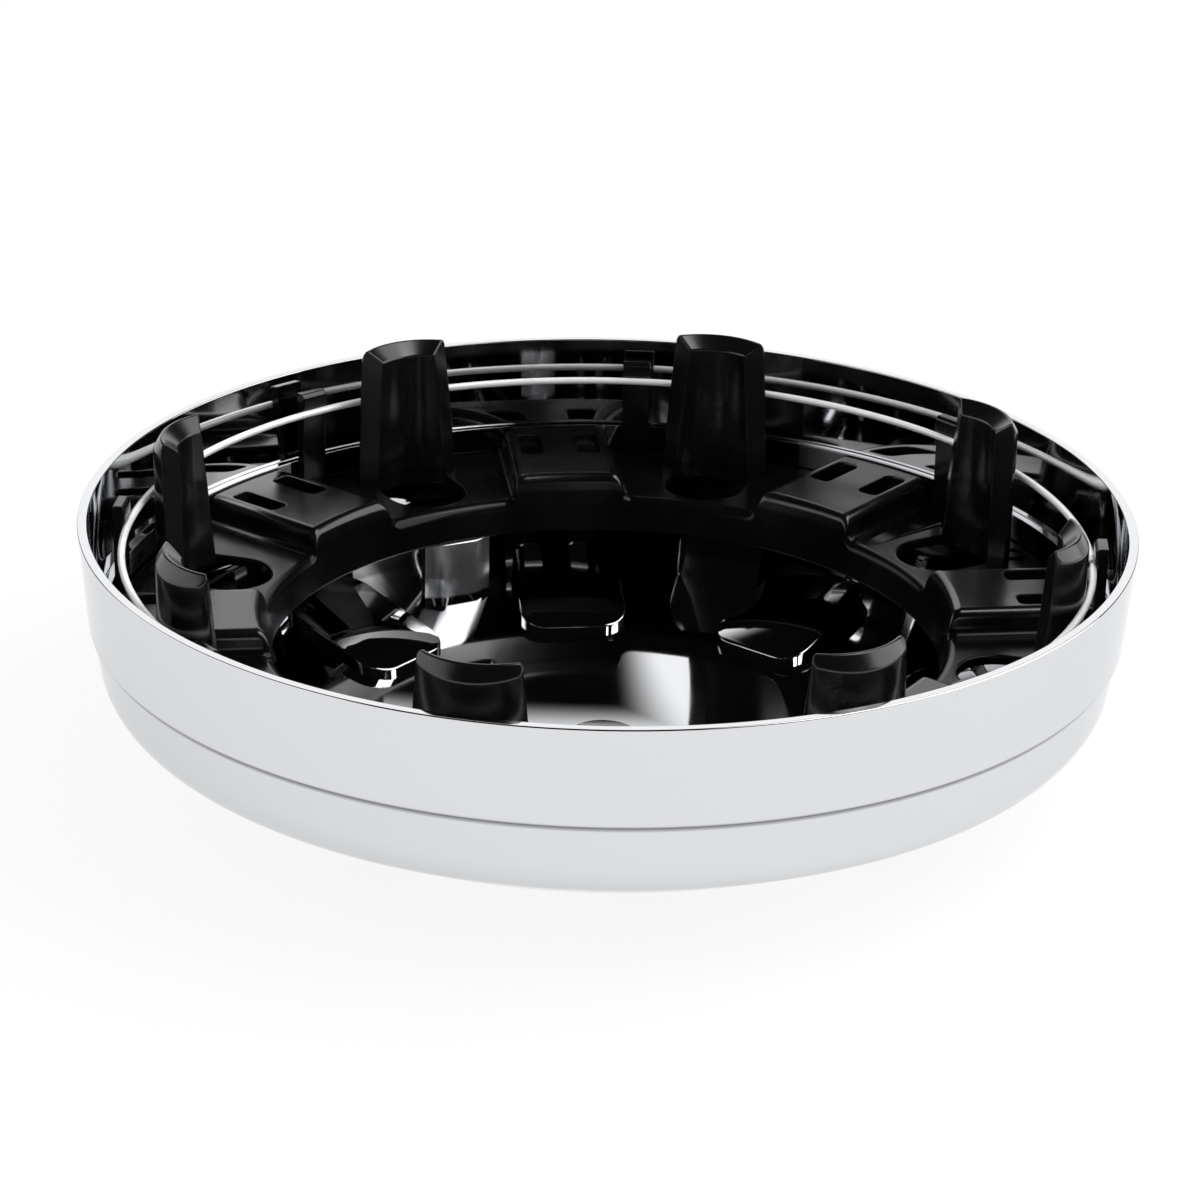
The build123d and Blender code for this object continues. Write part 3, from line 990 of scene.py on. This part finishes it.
@dataclass
class LugRetainer(Dressed):
    """The black ring with its skirt, raised pads, posts and keepers, all with rounded edges."""

    finish: SatinPlasticFinish
    lug_radius: float = 90.0 * MM
    nut_radius: float = 13.4 * MM
    outer_radius: float = 113.245 * MM
    ring_wall: float = 2.2 * MM
    seat_z: float = 32.79 * MM
    seat_inner_radius: float = 78.3 * MM
    seat_round: float = 2.8 * MM
    outer_round: float = 0.5 * MM
    under_round: float = 0.4 * MM
    skirt_depth: float = 8.4 * MM
    skirt_low_round: float = 0.6 * MM
    skirt_root_round: float = 1.0 * MM
    skirt_draft: float = radians(9.8)
    pad_height: float = 5.8 * MM
    pad_width: float = 25.7 * MM
    pad_side_draft: float = radians(10.0)
    pad_round: float = 2.5 * MM
    pad_foot_round: float = 2.6 * MM
    pad_foot_reach: float = 3.6 * MM
    columns_between: int = 5
    slot_length: float = 13.8 * MM
    slot_width: float = 5.4 * MM
    slot_corner: float = 1.4 * MM
    slot_radius: float = 101.695 * MM
    slot_offset: float = 7.2 * MM
    slot_flare: float = 0.4 * MM
    lug_hole_radius: float = 9.6 * MM
    lug_hole_inset: float = 1.8 * MM
    lug_hole_flare: float = 0.8 * MM
    post_top_z: float = 67.7 * MM
    post_top_width: float = 22.6 * MM
    post_draft: float = radians(5.0)
    post_grip_width: float = 13.8 * MM
    post_back_radius: float = 109.395 * MM
    post_ear_drop: float = 5.4 * MM
    post_edge_flat: float = 0.9 * MM
    post_round: float = 0.4 * MM
    post_back_inset: float = 0.45 * MM
    post_middle: float = 0.58
    post_parts: int = 24
    post_hard_angle: float = radians(24)
    roof_margin: float = 0.25 * MM
    roof_crowding: float = 0.1
    ridge_width: float = 0.6 * MM
    ridge_round: float = 0.65 * MM
    lead_in_width: float = 4.0 * MM
    lead_in_drop: float = 3.4 * MM
    back_bevel_slope: float = 1.7
    groove_radius: float = 109.095 * MM
    groove_z: float = 52.5 * MM
    groove_height: float = 1.9 * MM
    groove_reach: float = 2.0 * MM
    groove_turns: int = 256
    keeper_angle: float = radians(11.8)
    keeper_width: float = 7.0 * MM
    keeper_front: float = 110.895 * MM
    keeper_hook: float = 0.6 * MM
    keeper_top_z: float = 57.4 * MM
    keeper_hook_z: float = 53.45 * MM
    keeper_bevel: float = 0.8 * MM
    keeper_round: float = 0.3 * MM
    smooth_limit: float = radians(38)

    def skirt_radius(self, height: float) -> float:
        """Radius of the leaning inner face at a height."""
        return self.seat_inner_radius + tan(self.skirt_draft) * (height - self.seat_z)

    def pad_section(self) -> list[Point]:
        """Half of the section across a pad, from its middle to the flat seat beside it.

        Returns:
            Distance from the pad's middle and height of each point.
        """
        top = self.seat_z + self.pad_height
        half = self.pad_width / 2
        foot = half + self.pad_height * tan(self.pad_side_draft)
        flat = [(half * share, top) for share in (0.0, 0.2, 0.4, 0.6, 0.75)]
        rounded, _ = rounded_line([
            (0.8 * half, top, 0.0),
            (half, top, self.pad_round),
            (foot, self.seat_z, self.pad_foot_round),
            (foot + self.pad_foot_reach, self.seat_z, 0.0),
        ])
        return flat + rounded

    def ring_section(self, top: float) -> list[Point]:
        """Closed section along the radius where the ring or a pad reaches a height.

        Args:
            top: Height of the upper face.

        Returns:
            Radius and height of the section's points, with as many points for every height.
        """
        under = self.seat_z - self.ring_wall
        low = self.seat_z - self.skirt_depth
        thick = self.ring_wall / cos(self.skirt_draft)
        share = (top - self.seat_z) / self.pad_height
        edge = self.seat_round + share * (self.pad_round - self.seat_round)
        middle = (self.skirt_radius(low) + thick / 2, low, 0.0)
        line, _ = rounded_line([
            middle,
            (self.skirt_radius(low), low, self.skirt_low_round),
            (self.skirt_radius(top), top, edge),
            (self.outer_radius, top, self.outer_round),
            (self.outer_radius, under, self.under_round),
            (self.skirt_radius(under) + thick, under, self.skirt_root_round),
            (self.skirt_radius(low) + thick, low, self.skirt_low_round),
            middle,
        ])
        return line[:-1]

    def ring(self) -> bpy.types.Object:
        """Lofts the ring through sections from each lug's axis over the pad to the next lug's axis.

        Returns:
            The ring with solid pads.
        """
        half_pad = self.pad_section()
        bar_half = half_pad[-1][0]
        between = self.columns_between
        columns: list[Place] = [
            (-bar_half, self.seat_z, part / between) for part in range(between - 1, 0, -1)
        ]
        columns += [(-y, top, 0.0) for y, top in reversed(half_pad)]
        columns += [(y, top, 0.0) for y, top in half_pad[1:]]
        columns += [(bar_half, self.seat_z, part / between) for part in range(1, between + 1)]
        work = bmesh.new()
        loops: Loops = []
        for number in range(LUG_COUNT):
            axis = (2 * number + 1) * HALF_PITCH
            for side, top, share in columns:
                loop = []
                for radius, height in self.ring_section(top):
                    lean = asin(side / radius)
                    lean += share * (HALF_PITCH * (1 if side > 0 else -1) - lean)
                    loop.append(work.verts.new(round_axis(radius, axis + lean, height)))
                loops.append(loop)
        skin(work, loops + loops[:1])
        bmesh.ops.recalc_face_normals(work, faces=work.faces)
        return object_from("lug_retainer_visual", mesh_from(work, "lug_retainer_visual"))

    def pad_hollow(self) -> bpy.types.Mesh:
        """The hollow under one pad, along +X.

        Returns:
            The closed form.
        """
        lean = tan(self.pad_side_draft)
        side_wall = self.ring_wall / cos(self.pad_side_draft)
        roof_half = self.pad_width / 2 - side_wall + self.ring_wall * lean
        roof = self.seat_z + self.pad_height - self.ring_wall
        low = self.seat_z - self.ring_wall - PAST
        low_half = roof_half + (roof - low) * lean
        start = self.skirt_radius(self.seat_z + self.pad_height) + self.ring_wall / cos(self.skirt_draft)
        foot = self.pad_width / 2 + self.pad_height * lean
        end = sqrt(self.outer_radius**2 - foot**2) - self.ring_wall

        def loop(half: float, height: float) -> list[Vector]:
            """Outline of the hollow at a height."""
            corners = ((start, -half), (end, -half), (end, half), (start, half))
            return [Vector((x, y, height)) for x, y in corners]

        return closed_loft([loop(low_half, low), loop(roof_half, roof)])

    def slot(self, side: float) -> bpy.types.Mesh:
        """One slot through a pad's top, with a slightly flared mouth, along +X.

        Args:
            side: Distance of the slot from the pad's middle.

        Returns:
            The closed form.
        """
        top = self.seat_z + self.pad_height
        loops = []
        for spread, height in (
            (0.0, top - self.ring_wall - PAST),
            (0.0, top - self.slot_flare),
            (0.3 * self.slot_flare, top - 0.3 * self.slot_flare),
            (self.slot_flare, top),
            (self.slot_flare, top + PAST),
        ):
            outline = round_rectangle(
                self.slot_length + 2 * spread, self.slot_width + 2 * spread, self.slot_corner + spread
            )
            loops.append([Vector((self.slot_radius + x, side + y, height)) for x, y in outline])
        return closed_loft(loops)

    def lug_hole(self) -> bpy.types.Mesh:
        """One lug opening, round towards the axis and as wide as the nut's hollow at its post, along +X.

        Returns:
            The closed form.
        """

        def outline(spread: float) -> list[Point]:
            """Outline of the opening, spread outwards."""
            hole = self.lug_hole_radius + spread
            nut = self.nut_radius + spread
            middle = self.lug_radius + self.lug_hole_inset
            turn = asin(hole / nut)
            inner = [(middle + hole * cos(a), hole * sin(a)) for a in np.linspace(pi / 2, 3 * pi / 2, 33)]
            outer = [(self.lug_radius + nut * cos(a), nut * sin(a)) for a in np.linspace(-turn, turn, 25)]
            return inner + outer

        loops = []
        for spread, height in (
            (0.0, self.seat_z - self.ring_wall - PAST),
            (0.0, self.seat_z - self.lug_hole_flare),
            (0.12 * self.lug_hole_flare, self.seat_z - 0.5 * self.lug_hole_flare),
            (0.4 * self.lug_hole_flare, self.seat_z - 0.15 * self.lug_hole_flare),
            (self.lug_hole_flare, self.seat_z),
            (self.lug_hole_flare, self.seat_z + PAST),
        ):
            loops.append([Vector((x, y, height)) for x, y in outline(spread)])
        return closed_loft(loops)

    def roof(self) -> list[Point]:
        """Section of a post's top, with a rounded ridge.

        Returns:
            Distance from the nut's axis and height of each point.
        """
        slope = self.lead_in_drop / self.lead_in_width
        ridge_outer = self.nut_radius + self.lead_in_width
        ridge_inner = ridge_outer - self.ridge_width
        corner = (self.back_bevel_slope * ridge_outer + slope * ridge_inner) / (slope + self.back_bevel_slope)
        corner_z = self.post_top_z + self.back_bevel_slope * (ridge_outer - corner)
        far = ridge_outer + 3.0 * MM
        line, _ = rounded_line([
            (self.nut_radius, self.post_top_z - slope * (ridge_inner - self.nut_radius), 0.0),
            (corner, corner_z, self.ridge_round),
            (far, self.post_top_z - self.back_bevel_slope * (far - ridge_outer), 0.0),
        ], radians(14))
        return line[:-1]

    def back_arc(self) -> Point:
        """Middle, from the lug's axis, and radius of the arc that a post's back follows."""
        bow = self.post_ear_drop - self.post_edge_flat
        radius = ((self.post_top_width / 2) ** 2 + bow**2) / (2 * bow)
        return self.post_back_radius - self.lug_radius - radius, radius

    def post_corners(self, height: float) -> tuple[Point, Point, Point]:
        """Corners of one side of a post's plan at a height.

        Args:
            height: Height of the plan.

        Returns:
            The corner at the nut's hollow, the ear's corner and the start of the round back, all
            from the lug's axis.
        """
        half_grip = self.post_grip_width / 2
        half_post = self.post_top_width / 2
        ear = self.post_back_radius - self.post_ear_drop - self.lug_radius
        grip = Vector((sqrt(self.nut_radius**2 - half_grip**2), half_grip))
        way = (Vector((ear, half_post)) - grip).normalized()
        spread = (self.post_top_z - height) * tan(self.post_draft)
        start = grip + Vector((-way.y, way.x)) * spread
        along = way.dot(start)
        inner = -along + sqrt(along**2 - start.dot(start) + self.nut_radius**2)
        grip_corner = start + way * inner
        ear_corner = start + way * ((half_post + spread - start.y) / way.y)
        back_middle, back_round = self.back_arc()
        offset = start - Vector((back_middle, 0.0))
        reach = way.dot(offset)
        at_back = start + way * (-reach + sqrt(reach**2 - offset.dot(offset) + back_round**2))
        outer = ear_corner if ear_corner.x < at_back.x else at_back
        back_y = outer.y - self.post_back_inset
        back = (back_middle + sqrt(back_round**2 - back_y**2), back_y)
        return (grip_corner.x, grip_corner.y), (outer.x, outer.y), back

    def post_outline(self, height: float, parts: int) -> tuple[list[Point], list[Point]]:
        """Inner and outer edges of a post's plan at a height, from one side to the other.

        Args:
            height: Height of the plan.
            parts: Number of steps along each edge.

        Returns:
            Points of the nut's hollow and points of the back, from the lug's axis.
        """
        grip, ear, back = self.post_corners(height)
        turn = atan2(grip[1], grip[0])
        nut = self.nut_radius
        inner = [(nut * cos(a), nut * sin(a)) for a in np.linspace(-turn, turn, parts + 1)]
        middle, radius = self.back_arc()
        sweep = atan2(back[1], back[0] - middle)
        around = np.linspace(-sweep, sweep, parts - 1)
        arc = [(middle + radius * cos(a), radius * sin(a)) for a in around]
        return inner, [(ear[0], -ear[1])] + arc + [ear]

    def post(self) -> bpy.types.Mesh:
        """One post, along +X: round hollow, oblique ends, bowed back and sloping top, with rounded edges.

        Returns:
            The closed form.
        """
        parts = self.post_parts
        low = self.seat_z - self.ring_wall + ROOT
        roof = self.roof()
        ridge = np.array(roof)

        def roof_height(place: Point) -> float:
            """Height of the top at a place in the plan."""
            away = hypot(*place)
            if away > ridge[-1, 0]:
                return ridge[-1, 1] - self.back_bevel_slope * (away - ridge[-1, 0])
            return float(np.interp(away, ridge[:, 0], ridge[:, 1]))

        work = bmesh.new()
        rows: list[tuple[list, list]] = []
        for height in (low, (1 - self.post_middle) * low + self.post_middle * self.post_top_z):
            inner, outer = self.post_outline(height, parts)
            rows.append((
                [work.verts.new((self.lug_radius + x, y, height)) for x, y in inner],
                [work.verts.new((self.lug_radius + x, y, height)) for x, y in outer],
            ))
        top_inner, top_outer = self.post_outline(self.post_top_z - PAST, parts)
        grid: Loops = []
        for one, two in zip(top_inner, top_outer):
            reach = hypot(*two)
            line = []
            for away, _ in roof:
                if away > reach - self.roof_margin:
                    away = reach - self.roof_margin - (ridge[-1, 0] - away) * self.roof_crowding
                share = max(0.0, (away - self.nut_radius) / (reach - self.nut_radius))
                place = (one[0] + share * (two[0] - one[0]), one[1] + share * (two[1] - one[1]))
                line.append(work.verts.new((self.lug_radius + place[0], place[1], roof_height(place))))
            line.append(work.verts.new((self.lug_radius + two[0], two[1], roof_height(two))))
            grid.append(line)
        rows.append(([line[0] for line in grid], [line[-1] for line in grid]))
        for (inner_low, outer_low), (inner_high, outer_high) in zip(rows, rows[1:]):
            for k in range(parts):
                work.faces.new((inner_low[k], inner_high[k], inner_high[k + 1], inner_low[k + 1]))
                work.faces.new((outer_low[k], outer_low[k + 1], outer_high[k + 1], outer_high[k]))
        for k in range(parts):
            for one, two, three, four in zip(grid[k], grid[k][1:], grid[k + 1][1:], grid[k + 1]):
                work.faces.new((one, two, three, four))
            work.faces.new((rows[0][0][k], rows[0][0][k + 1], rows[0][1][k + 1], rows[0][1][k]))
        for end in (0, -1):
            rim = [rows[0][0][end], rows[1][0][end]] + grid[end] + [rows[1][1][end], rows[0][1][end]]
            work.faces.new(rim)
        bmesh.ops.recalc_face_normals(work, faces=work.faces)
        hard = []
        for edge in work.edges:
            heights = [end.co.z for end in edge.verts]
            upper = min(heights) > low + 1e-6
            upright = max(heights) - min(heights) > 5.0 * MM
            if edge.calc_face_angle(0.0) > self.post_hard_angle and (upper or upright):
                hard.append(edge)
        round_edges(work, hard, self.post_round, segments=3)
        bmesh.ops.recalc_face_normals(work, faces=work.faces)
        return mesh_from(work, "post")

    def groove(self) -> bpy.types.Object:
        """The ring-shaped cut in the posts' backs that the wire lies in.

        Returns:
            The closed form.
        """
        work = bmesh.new()
        half = self.groove_height / 2
        inner = self.groove_radius
        outer = inner + self.groove_reach
        section = ((inner, -half), (outer, -half), (outer, half), (inner, half))
        loops: Loops = []
        for k in range(self.groove_turns):
            angle = 2 * pi * k / self.groove_turns
            loops.append([
                work.verts.new(round_axis(radius, angle, self.groove_z + height))
                for radius, height in section
            ])
        skin(work, loops + loops[:1])
        bmesh.ops.recalc_face_normals(work, faces=work.faces)
        return object_from("groove", mesh_from(work, "groove"))

    def keeper(self) -> bpy.types.Mesh:
        """One keeper, along +X: stands outside the wire and hooks over it.

        Returns:
            The closed form.
        """
        half = self.keeper_width / 2
        low = self.seat_z - self.ring_wall + ROOT
        back = sqrt(self.outer_radius**2 - half**2)
        hook = self.keeper_front - self.keeper_hook
        outline = [
            (back, low),
            (back, self.keeper_top_z),
            (hook + self.keeper_bevel, self.keeper_top_z),
            (hook, self.keeper_top_z - self.keeper_bevel),
            (hook, self.keeper_hook_z),
            (self.keeper_front, self.keeper_hook_z),
            (self.keeper_front, low),
        ]
        mesh = closed_loft([[Vector((x, y, z)) for x, z in outline] for y in (-half, half)])
        work = bmesh.new()
        work.from_mesh(mesh)
        above = self.seat_z + PAST
        hard = [edge for edge in work.edges if max(end.co.z for end in edge.verts) > above]
        round_edges(work, hard, self.keeper_round, segments=2)
        work.to_mesh(mesh)
        work.free()
        return mesh

    def build(self) -> bpy.types.Object:
        """Makes the retainer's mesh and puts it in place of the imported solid.

        Returns:
            The retainer.
        """
        made = self.ring()
        combine(made, turned_copies(self.pad_hollow(), "pad_hollows", HALF_PITCH), Operation.CUT)
        for side in (-self.slot_offset, self.slot_offset):
            combine(made, turned_copies(self.slot(side), "slots", HALF_PITCH), Operation.CUT)
        combine(made, turned_copies(self.lug_hole(), "lug_holes", 0.0), Operation.CUT)
        posts = turned_copies(self.post(), "posts", 0.0)
        combine(posts, self.groove(), Operation.CUT)
        combine(made, posts, Operation.JOIN)
        combine(made, turned_copies(self.keeper(), "keepers", self.keeper_angle), Operation.JOIN)
        soften(made, self.smooth_limit)
        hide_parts("lug_retainer")
        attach(made, "root")
        return made


@dataclass
class GripRing(Dressed):
    """The split ring of round spring wire."""

    finish: PlatedWireFinish
    radius: float = 109.95 * MM
    height: float = 52.5 * MM
    diameter: float = 1.7 * MM
    gap: float = 2.0 * MM
    gap_angle: float = radians(11.8)
    end_round_share: float = 0.25
    smooth_limit: float = radians(40)
    turns: int = 360
    sides: int = 14

    def build(self) -> bpy.types.Object:
        """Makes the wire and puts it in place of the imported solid.

        Returns:
            The wire.
        """
        open_angle = self.gap / self.radius
        start = self.gap_angle + open_angle / 2
        sweep = 2 * pi - open_angle
        thick = self.diameter / 2
        end_thick = thick - self.end_round_share * self.diameter / 2
        loops: list[list[Vector]] = []
        for station in range(self.turns + 1):
            angle = start + sweep * station / self.turns
            size = end_thick if station in (0, self.turns) else thick
            sides = [2 * pi * k / self.sides for k in range(self.sides)]
            loops.append([
                Vector(round_axis(self.radius + size * cos(a), angle, self.height + size * sin(a)))
                for a in sides
            ])
        mesh = closed_loft(loops)
        mesh.name = "grip_ring_visual"
        mesh.polygons.foreach_set("use_smooth", np.ones(len(mesh.polygons), bool))
        mesh.set_sharp_from_angle(angle=self.smooth_limit)
        made = object_from("grip_ring_visual", mesh)
        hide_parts("grip_ring")
        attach(made, "root")
        return made


@dataclass(frozen=True)
class SoftBox:
    """A rectangular soft lamp that faces a point."""

    name: str
    place: Place
    aim: Place
    size: Point
    watts: float

    def build(self) -> bpy.types.Object:
        """Makes the lamp.

        Returns:
            The lamp.
        """
        lamp = bpy.data.lights.new(self.name, "AREA")
        lamp.shape = "RECTANGLE"
        lamp.size, lamp.size_y = self.size
        lamp.energy = self.watts
        made = bpy.data.objects.new(self.name, lamp)
        made.location = self.place
        made.rotation_mode = "QUATERNION"
        made.rotation_quaternion = (Vector(self.aim) - Vector(self.place)).to_track_quat("-Z", "Y")
        bpy.context.scene.collection.objects.link(made)
        return made


@dataclass
class Studio:
    """White floor, soft lamps and the camera.

    A lamp's place is its azimuth and elevation in degrees and its distance, as the method away takes them.
    """

    floor_reach: float = 12.0
    floor_gap: float = 0.1 * MM
    floor_colour: Colour = (0.92, 0.92, 0.92)
    floor_glow: float = 0.87
    floor_glow_reflected: float = 0.76
    surround: Colour = (0.85, 0.85, 0.85)
    ceiling: Colour = (0.002, 0.002, 0.002)
    horizon_top: Point = (0.06, 0.15)
    backdrop_edge: Point = (0.86, 0.94)
    backdrop_top: Point = (0.44, 0.56)
    window_edge: Point = (0.01, 0.06)
    window_top: Point = (0.72, 0.77)
    card_edge: Point = (0.72, 0.88)
    card_top: Point = (0.46, 0.58)
    card_strength: float = 1.25
    lamp_aim: Place = (0.0, 0.0, 0.04)
    right_box_place: Place = (86.0, 37.0, 1.4)
    right_box_size: Point = (1.4, 1.6)
    right_box_watts: float = 15.0
    upper_box_place: Place = (97.0, 67.0, 1.5)
    upper_box_size: Point = (0.5, 0.5)
    upper_box_watts: float = 3.0
    camera_distance: float = 0.8309
    camera_azimuth: float = radians(15.16)
    camera_elevation: float = radians(21.509)
    camera_roll: float = radians(1.273)
    camera_target: Place = (0.0, 0.0, 0.061)
    sensor_width: float = 36.0
    clip: Point = (0.01, 100.0)
    focal_pixels: float = 3659.45
    image_pixels: float = 1200.0
    target_pixel: Point = (608.30, 507.60)

    def seen(self, tree: NodeTree) -> Socket:
        """Adds nodes that give 1 for rays that see the background as it is.

        Args:
            tree: The shader that gets the nodes.

        Returns:
            The socket of the value.
        """
        path = tree.add("ShaderNodeLightPath")
        total = path.outputs[Ray.CAMERA.value]
        for kind in (Ray.GLOSSY, Ray.TRANSMISSION):
            total = tree.larger(total, path.outputs[kind.value])
        return total

    def floor(self) -> bpy.types.Object:
        """Lays the pale floor.

        Returns:
            The floor.
        """
        work = bmesh.new()
        bmesh.ops.create_grid(work, x_segments=1, y_segments=1, size=self.floor_reach)
        made = object_from("floor", mesh_from(work, "floor"))
        made.location.z = -self.floor_gap
        paint, tree = blank_material("floor_paint")
        matt = tree.add("ShaderNodeBsdfDiffuse")
        matt.inputs["Color"].default_value = (*self.floor_colour, 1.0)
        glow = tree.add("ShaderNodeEmission")
        glow.inputs["Color"].default_value = (*WHITE, 1.0)
        glow.inputs["Strength"].default_value = 1.0
        path = tree.add("ShaderNodeLightPath")
        share = tree.scaled(self.seen(tree), self.floor_glow_reflected)
        shown = tree.scaled(path.outputs[Ray.CAMERA.value], self.floor_glow)
        tree.show(tree.mixed(tree.larger(share, shown), matt, glow))
        made.data.materials.append(paint)
        return made

    def surroundings(self) -> None:
        """Sets the room: soft light all round, with a white backdrop and side cards in a dark studio."""
        world = bpy.data.worlds.new("studio")
        bpy.context.scene.world = world
        world.use_nodes = True
        tree = NodeTree(world.node_tree)
        place = tree.add("ShaderNodeTexCoord").outputs["Generated"]
        height = tree.along(place, UP)
        level = tree.add("ShaderNodeVectorMath", operation="NORMALIZE")
        tree.link(tree.level(place), level.inputs[0])
        turn = self.camera_azimuth
        behind = tree.along(level.outputs["Vector"], (-sin(turn), cos(turn), 0.0))
        left = tree.along(level.outputs["Vector"], (-cos(turn), -sin(turn), 0.0))

        def background(colour: Colour, strength: float = 1.0) -> bpy.types.Node:
            """Adds a node that shines in one colour."""
            node = tree.add("ShaderNodeBackground")
            node.inputs["Color"].default_value = (*colour, 1.0)
            node.inputs["Strength"].default_value = strength
            return node

        horizon = tree.fade(height, *self.horizon_top, rising=False)
        window = tree.product(
            tree.fade(left, *self.window_edge, rising=True), tree.fade(height, *self.window_top, rising=False)
        )
        backdrop = tree.product(
            tree.fade(behind, *self.backdrop_edge, rising=True),
            tree.larger(window, tree.fade(height, *self.backdrop_top, rising=False)),
        )
        card = tree.product(
            tree.fade(left, *self.card_edge, rising=True), tree.fade(height, *self.card_top, rising=False)
        )
        path = tree.add("ShaderNodeLightPath")
        pale = tree.larger(horizon, path.outputs[Ray.CAMERA.value])
        bright = background(WHITE, self.card_strength)
        shown = tree.mixed(tree.larger(card, backdrop), background(self.ceiling), bright)
        shown = tree.mixed(pale, shown, background(WHITE))
        tree.show(tree.mixed(self.seen(tree), background(self.surround), shown), "World")

    def lamps(self) -> list[SoftBox]:
        """The soft boxes: a large one at the right, and a small one above it."""
        right, upper = self.away(*self.right_box_place), self.away(*self.upper_box_place)
        return [
            SoftBox("right_box", right, self.lamp_aim, self.right_box_size, self.right_box_watts),
            SoftBox("upper_box", upper, self.lamp_aim, self.upper_box_size, self.upper_box_watts),
        ]

    def away(self, azimuth: float, elevation: float, distance: float) -> Place:
        """Place in the studio as the camera sees it.

        Args:
            azimuth: Degrees from straight behind the cap towards the right.
            elevation: Degrees above the floor.
            distance: Metres from the cap.

        Returns:
            The place's coordinates.
        """
        turn = pi / 2 + self.camera_azimuth - radians(azimuth)
        rise = radians(elevation)
        return distance * cos(rise) * cos(turn), distance * cos(rise) * sin(turn), distance * sin(rise)

    def camera(self) -> bpy.types.Object:
        """Places the camera where the photograph was taken from.

        Returns:
            The camera.
        """
        flat = cos(self.camera_elevation)
        back = Vector((
            sin(self.camera_azimuth) * flat, -cos(self.camera_azimuth) * flat, sin(self.camera_elevation)
        ))
        lens = bpy.data.cameras.new("camera")
        lens.sensor_width = self.sensor_width
        lens.lens = self.focal_pixels / self.image_pixels * lens.sensor_width
        lens.clip_start, lens.clip_end = self.clip
        right = (self.target_pixel[0] - self.image_pixels / 2) / self.focal_pixels
        up = (self.image_pixels / 2 - self.target_pixel[1]) / self.focal_pixels
        aim = (-back).to_track_quat("-Z", "Y").to_matrix()
        aim = aim @ Matrix.Rotation(self.camera_roll, 3, "Z")
        aim = aim @ Matrix.Rotation(-atan(up), 3, "X") @ Matrix.Rotation(atan(right), 3, "Y")
        made = bpy.data.objects.new("camera", lens)
        place = Vector(self.camera_target) + back * self.camera_distance
        made.matrix_world = Matrix.Translation(place) @ aim.to_4x4()
        bpy.context.scene.collection.objects.link(made)
        bpy.context.scene.camera = made
        return made

    def build(self) -> None:
        """Makes the floor, the room, the lamps and the camera."""
        self.floor()
        self.surroundings()
        for lamp in self.lamps():
            lamp.build()
        self.camera()
        bpy.context.scene.view_settings.view_transform = "Standard"


def main() -> None:
    """Builds the cap's pieces and the studio, and reports each piece."""
    logging.basicConfig(level=logging.INFO, format="%(name)s: %(message)s")
    for piece in (
        CapShell(ChromeFinish()),
        LugRetainer(SatinPlasticFinish()),
        GripRing(PlatedWireFinish()),
    ):
        made = piece.build()
        piece.dress(made)
        LOG.info("%s has %d faces", made.name, len(made.data.polygons))
    Studio().build()


if __name__ == "__main__":
    main()
